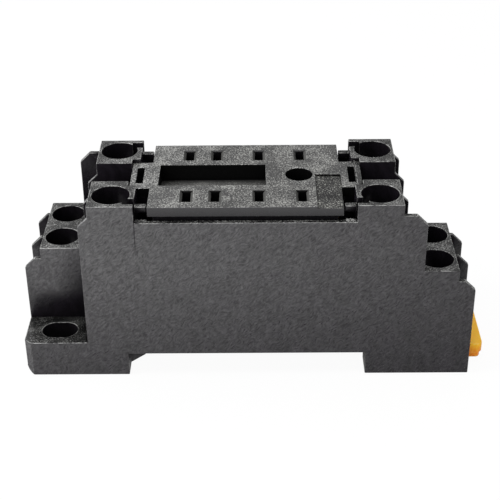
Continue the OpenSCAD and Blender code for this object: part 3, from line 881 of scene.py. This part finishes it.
# %% [markdown]
# The shine is a Coat layer, because its weight may change from spot to spot. It is full on the walls near
# the upper left and fades towards the far end and the foot, a painted gradient of light and shade. Slanted
# fibres of noise give it the look of a wall that was drawn out of the mould, and a moving insert left a faint
# upright line in it, from the cut-out down.

# %% The shine of the walls
FADE, FALL = (-22.0, 36.0, 1.0, 0.58), (-4.0, 18.0, 0.48, 1.02)
CURL, SLANT, FIBRE = (1.6, 1.6, 1.6), (0, -0.75, 0), (0.8, 0.25, 0.24)
LINE_X, LINE_HALF, LINE_RISE, LINE_LOSS = -17.0, (0.05, 0.14), (17.0, 22.0), 0.6

# Painted light and shade: the shine fades towards the far end and towards the foot.
fade, fall = ramp(tree, spot["X"], *FADE), ramp(tree, spot["Z"], *FALL)
line = rest_of(tree, between(tree, far_from(tree, spot["X"], LINE_X), *LINE_HALF))
line = product(tree, line, between(tree, spot["Z"], *LINE_RISE))
curl = noise(tree, place, 0.5, 1.0)["Color"]
curled = add(tree, "VectorMath", {0: curl, 1: CURL, 2: place}, operation="MULTIPLY_ADD").outputs[0]
slanted = {"Vector": curled, "Rotation": SLANT, "Scale": FIBRE}
slanted = add(tree, "Mapping", slanted, vector_type="TEXTURE").outputs[0]
blotch = ramp(tree, noise(tree, slanted, 1.0, 3.0, 0.65)[0], *MARK_RANGE, 0.5, 1.5)
streak = ramp(tree, marks, *MARK_RANGE, 0.9, 1.08)
shine = less_where(tree, product(tree, fade, fall, blotch, streak), line, LINE_LOSS)
print("shine fades to", FADE[3], "at the far end")

# %% [markdown]
# On the tops the grain breaks the shine up. It is nearly gone between the blocks and behind the barriers, and
# in the hollows, where nothing bright is reflected: painted shade in the shine.

# %% The shine of tops, lanes and hollows
TOP_BASE, TOP_TILT = 0.3, (-30.0, 30.0, 1.25, 0.75)
SIDE_FACE, LANE_HALF, LANE_RISE, LANE_LOSS = (0.5, 0.8), (4.0, 5.0), (16.0, 17.5), 0.9
BARRIER_FROM, BARRIER_LOSS, HOLLOW_POWER = (6.0, 7.0), 0.7, 5.0

on_top = total(tree, "ADD", TOP_BASE, product(tree, grain_and_glints["PaintedGlints"], 1 - TOP_BASE))
shine = swap(tree, is_top, shine, product(tree, on_top, ramp(tree, spot["X"], *TOP_TILT)))
# Painted shade: the shine is cut back between the blocks, behind the barriers and in the hollows.
lane = rest_of(tree, between(tree, far_from(tree, spot["Y"]), *LANE_HALF))
lane = product(tree, lane, between(tree, far_from(tree, facing["Y"]), *SIDE_FACE))
lane = product(tree, lane, between(tree, spot["Z"], *LANE_RISE))
looks_near = between(tree, product(tree, facing["Y"], -1.0), *SIDE_FACE)
barrier = product(tree, between(tree, spot["Y"], *BARRIER_FROM), looks_near)
shine = less_where(tree, less_where(tree, shine, lane, LANE_LOSS), barrier, BARRIER_LOSS)
shine = product(tree, shine, total(tree, "POWER", open_here, HOLLOW_POWER))
fill(tree, shader, {"Coat Weight": shine, "Coat IOR": 1.9, "Coat Roughness": 0.2})
for piece in (housing, sliver, other):
    finish_with(piece, black)
print(black.name, len(tree.nodes), "nodes")

# %% [markdown]
# ## The grey contact plate
# The plate's top glitters most of all, its glints painted as pale specks, and its sunk corner is rougher and
# darker, as if that part of the mould had been cut again. The corner and the floor of the recess are found by
# their height, because they lie below the rest. Light over the recess's far wall is painted on the floor, so
# its colour pales away from that wall.

# %% The plate's tops
plate_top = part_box("contact_plate")[1].z / MM
SUNK_FROM, SUNK_TO, DEEP = (-0.4, -0.3), (-0.12, -0.06), (-1.0, -0.5)
FAR_WALL = (2.2, 3.5, 1.0, 0.1)

grey_plate, tree, shader, place = new_material("grey_plastic")
facing, spot = facing_of(tree), parts_of(tree, place)
is_top = between(tree, facing["Z"], *TOP_FACE)
above = total(tree, "SUBTRACT", spot["Z"], plate_top)
is_sunk = product(tree, between(tree, above, *SUNK_FROM), rest_of(tree, between(tree, above, *SUNK_TO)))
is_high = between(tree, above, *DEEP)
# Painted light on the recess floor: it fades towards the far wall.
pale = ramp(tree, spot["Y"], *FAR_WALL)
grain_and_glints = use(tree, grain, Place=place, Size=0.24, Share=0.75)
few = use(tree, grain, Place=place, Size=0.28, Share=0.62)
# Painted glints as pale specks, and the recess floor's colour painted lit away from the far wall.
floor_tone = mix(tree, grain_and_glints["PaintedGlints"], grey(0.07, (1, 1, 0.97)), grey(0.2, (1, 1, 0.95)))
fine = mix(tree, grain_and_glints["PaintedGlints"], grey(0.012), grey(0.2, (1, 1, 0.93)))
fine = mix(tree, is_high, mix(tree, pale, grey(0.01), floor_tone), fine)
sunk = mix(tree, few["PaintedGlints"], grey(0.006), grey(0.3, (1, 1, 0.92)))
top = mix(tree, is_sunk, fine, sunk)
print("plate's top at", round(plate_top, 2), "mm")

# %% [markdown]
# The plate's sides are almost black. The slopes in the slots' mouths are smooth, and painted pale as if lit,
# beside the slots, which painted shade darkens. They are found by their normals, which point up more than a
# side's and less than a top's.

# %% The plate's sides, slopes and relief
OUTER, SIDE_TINT = (8.6, 9.0), (1, 0.9, 1.1)
SLOPE_FROM, SLOPE_TO, SLOTS_FROM = (0.4, 0.55), (0.8, 0.92), (4.4, 4.8)

outer = between(tree, far_from(tree, spot["Y"]), *OUTER)
open_here = openness(tree, 4 * MM)
side = mix(tree, grain_and_glints["PaintedGlints"], grey(0.008, SIDE_TINT), grey(0.013, SIDE_TINT))
side = mix(tree, outer, grey(0.0015), side)
# Painted shade: the colour darkens where the plate is closed in.
colour = use(tree, hollow_shade, Open=open_here, Depth=0.6, Colour=mix(tree, is_top, side, top))["Colour"]
not_level = rest_of(tree, between(tree, facing["Z"], *SLOPE_TO))
at_slots = between(tree, far_from(tree, spot["Y"]), *SLOTS_FROM)
slope = product(tree, between(tree, facing["Z"], *SLOPE_FROM), not_level, rest_of(tree, outer), at_slots)
# Painted light: the slopes of the mouths are paler, as if lit.
colour = mix(tree, slope, colour, grey(0.07, VEIN_TINT))
rubbed_and_highlit = product(tree, edge_wear_and_highlight(tree, place, 0.8, 0.5), 0.35)
finish = {
    "Base Color": mix(tree, rubbed_and_highlit, colour, grey(0.2, VEIN_TINT)),
    "Roughness": ramp(tree, grain_and_glints["Height"], *SPARK_ROUGH),
    "Specular IOR Level": 0.04,
    "Normal": relief_from(tree, grain_and_glints["Height"], 0.6, 0.05 * MM),
}
fill(tree, shader, finish)
print(grey_plate.name, len(tree.nodes), "nodes so far")

# %% [markdown]
# The plate shines most at its left end, and its outer sides shine towards the rim. The sunk corner stays
# dull, and the walls of the openings stay dull as painted shade. The floor of the recess shines only where
# light reaches it over the far wall, which is painted light.

# %% The plate's shine
PLATE_BASE, NEAR_GATE, SUNK_LOSS = 0.38, (-22.0, -2.0, 1.7, 1.0), 0.6
RIM_SHINE, INNER_SHINE, PLATE_POWER = (-1.5, -0.3, 0.38, 0.58), 0.04, 1.5

on_top = total(tree, "ADD", PLATE_BASE, product(tree, grain_and_glints["PaintedGlints"], 1 - PLATE_BASE))
on_top = less_where(tree, product(tree, on_top, ramp(tree, spot["X"], *NEAR_GATE)), is_sunk, SUNK_LOSS)
on_side = swap(tree, outer, INNER_SHINE, ramp(tree, above, *RIM_SHINE))
# Painted shade: the shine is cut back where the plate is closed in.
shine = product(tree, swap(tree, is_top, on_side, on_top), total(tree, "POWER", open_here, PLATE_POWER))
# Painted light: the recess floor shines by the painted floor light.
shine = swap(tree, product(tree, is_top, rest_of(tree, is_high)), shine, pale)
fill(tree, shader, {"Coat Weight": shine, "Coat IOR": 1.9, "Coat Roughness": 0.22})
finish_with(plate, grey_plate)
print(grey_plate.name, len(tree.nodes), "nodes")

# %% [markdown]
# ## The orange clip
# The clip is natural coloured nylon, so light passes a little way into it. Subsurface scattering gives that
# glow. Its colour deepens downwards, and it carries the same flow marks as the housing.

# %% Orange clip
DEEP_ORANGE, ORANGE = (0.85, 0.24, 0.006, 1), (1.0, 0.55, 0.006, 1)
MARK_ORANGE, PALE_ORANGE = (1.0, 0.6, 0.03, 1), (1.0, 0.7, 0.16, 1)

orange, tree, shader, place = new_material("orange_plastic")
high_up = between(tree, parts_of(tree, place)["Z"], clip_low.z / MM + 0.6, clip_high.z / MM - 0.2)
marks = between(tree, use(tree, flow, Place=place)["Marks"], 0.4, 0.7)
colour = mix(tree, high_up, DEEP_ORANGE, ORANGE)
colour = mix(tree, product(tree, marks, 0.35), colour, MARK_ORANGE)
rubbed_and_highlit = product(tree, edge_wear_and_highlight(tree, place, 0.7, 0.7), 0.6)
height = use(tree, grain, Place=place, Size=0.3, Share=0.4)["Height"]
finish = {
    "Base Color": mix(tree, rubbed_and_highlit, colour, PALE_ORANGE),
    "Normal": relief_from(tree, height, 0.25, 0.03 * MM),
    "Roughness": ramp(tree, height, 0.3, 1.0, 0.28, 0.45),
    "Specular IOR Level": 0.3,
    "Subsurface Weight": 0.25,
    "Subsurface Radius": (1.0, 0.45, 0.12),
    "Subsurface Scale": 0.6 * MM,
}
fill(tree, shader, finish)
finish_with(clip, orange)
print(orange.name, len(tree.nodes), "nodes")

# %% [markdown]
# ## Metals
# Zinc plate on steel has small frosted crystals, and rolled brass and bronze have fine lines along the
# strip. One function makes all three. It takes the two tones of the metal, how the pattern is stretched,
# and how rough the metal is.


# %% Plated and rolled metal
def metal(name, light, dark, stretch, low_rough, high_rough):
    """A metal with a stretched fine pattern in its tone, its roughness and its relief."""
    made, tree, shader, place = new_material(name)
    lines = add(tree, "Mapping", {"Vector": place, "Scale": stretch}).outputs[0]
    fine = noise(tree, lines, 5.0, 5.0, 0.65)[0]
    stain = between(tree, noise(tree, place, 0.6, 3.0)[0], 0.35, 0.7)
    rubbed_and_highlit = product(tree, edge_wear_and_highlight(tree, place, 0.6, 0.7), 0.5)
    finish = {
        "Base Color": mix(tree, rubbed_and_highlit, mix(tree, stain, light, dark), grey(0.9, light)),
        "Roughness": ramp(tree, fine, 0.3, 0.7, low_rough, high_rough),
        "Metallic": 1.0,
        "Normal": relief_from(tree, fine, 0.25, 0.02 * MM),
    }
    fill(tree, shader, finish)
    print(name, len(tree.nodes), "nodes")
    return made


EVEN, ALONG_X, ALONG_Y = (1, 1, 1), (0.25, 3, 0.25), (3, 0.25, 0.25)
zinc = metal("zinc_steel", (0.68, 0.69, 0.7, 1), (0.5, 0.5, 0.49, 1), EVEN, 0.22, 0.42)
brass = metal("brass_strip", (0.72, 0.56, 0.3, 1), (0.5, 0.38, 0.2, 1), ALONG_X, 0.28, 0.46)
bronze = metal("bronze_spring", (0.7, 0.46, 0.28, 1), (0.5, 0.31, 0.18, 1), ALONG_Y, 0.26, 0.42)
for pieces, material in ((screws + washers, zinc), (strips, brass), (forks, bronze)):
    for piece in pieces:
        finish_with(piece, material)

# %% [markdown]
# ## Stage
# A pale floor and soft lamps. The floor and the world are white to the camera and in reflections, while
# the lamps stay at a level where a colour looks as it is written.


# %% White seen directly, in reflections and through clear things
def seen_share(tree, share, mirrored):
    """A share for rays from the camera or a clear thing, another for reflections, and 0 for plain light."""
    path = add(tree, "LightPath").outputs
    seen = total(tree, "MAXIMUM", path["Is Camera Ray"], path["Is Transmission Ray"])
    return total(tree, "MAXIMUM", product(tree, seen, share), product(tree, path["Is Glossy Ray"], mirrored))


def empty_tree(owner):
    """The node tree of a material or a world, with nothing in it."""
    owner.use_nodes = True
    owner.node_tree.nodes.clear()
    return owner.node_tree


# %% Floor
FLOOR_SIZE, FLOOR_Z = 6, cad_box[0].z - 0.02 * MM

bpy.ops.object.select_all(action="DESELECT")
bpy.ops.mesh.primitive_plane_add(size=FLOOR_SIZE, location=(0, 0, FLOOR_Z))
floor = bpy.context.object
floor.name = "floor"
pale_floor = bpy.data.materials.new("pale_floor")
tree = empty_tree(pale_floor)
matt = add(tree, "BsdfDiffuse", {"Color": grey(0.85)}).outputs[0]
glow = add(tree, "Emission", {"Color": grey(1.0), "Strength": 1.0}).outputs[0]
both = add(tree, "MixShader", {0: seen_share(tree, 0.95, 0.75), 1: matt, 2: glow}).outputs[0]
add(tree, "OutputMaterial", {"Surface": both})
finish_with(floor, pale_floor)
print("floor at", round(FLOOR_Z / MM, 2), "mm")

# %% World
world = bpy.data.worlds.new("studio")
bpy.context.scene.world = world
tree = empty_tree(world)
soft = add(tree, "Background", {"Color": grey(1.0), "Strength": 0.3}).outputs[0]
bright = add(tree, "Background", {"Color": grey(1.0), "Strength": 1.0}).outputs[0]
both = add(tree, "MixShader", {0: seen_share(tree, 1.0, 1.0), 1: soft, 2: bright}).outputs[0]
add(tree, "OutputWorld", {"Surface": both})
print("world", world.name)


# %% Lamps
def lamp(name, place, aim, size, watts):
    """A square soft lamp that looks at a point."""
    bpy.ops.object.light_add(type="AREA", location=place)
    light = bpy.context.object
    light.name = name
    light.data.shape = "RECTANGLE"
    light.data.size, light.data.size_y = size
    light.data.energy = watts
    light.rotation_euler = (Vector(aim) - Vector(place)).to_track_quat("-Z", "Y").to_euler()
    print("lamp", name, watts, "W")


lamp("overhead", (-0.05, 0.12, 0.45), (0, 0, 0), (0.5, 0.4), 1.6)
lamp("front", (-0.1, -0.5, 0.25), (0, 0, 0.01), (0.4, 0.3), 1.2)
lamp("left", (-0.32, -0.06, 0.34), (-0.01, 0, 0.01), (0.12, 0.12), 1.4)
bpy.context.scene.view_settings.view_transform = "Standard"
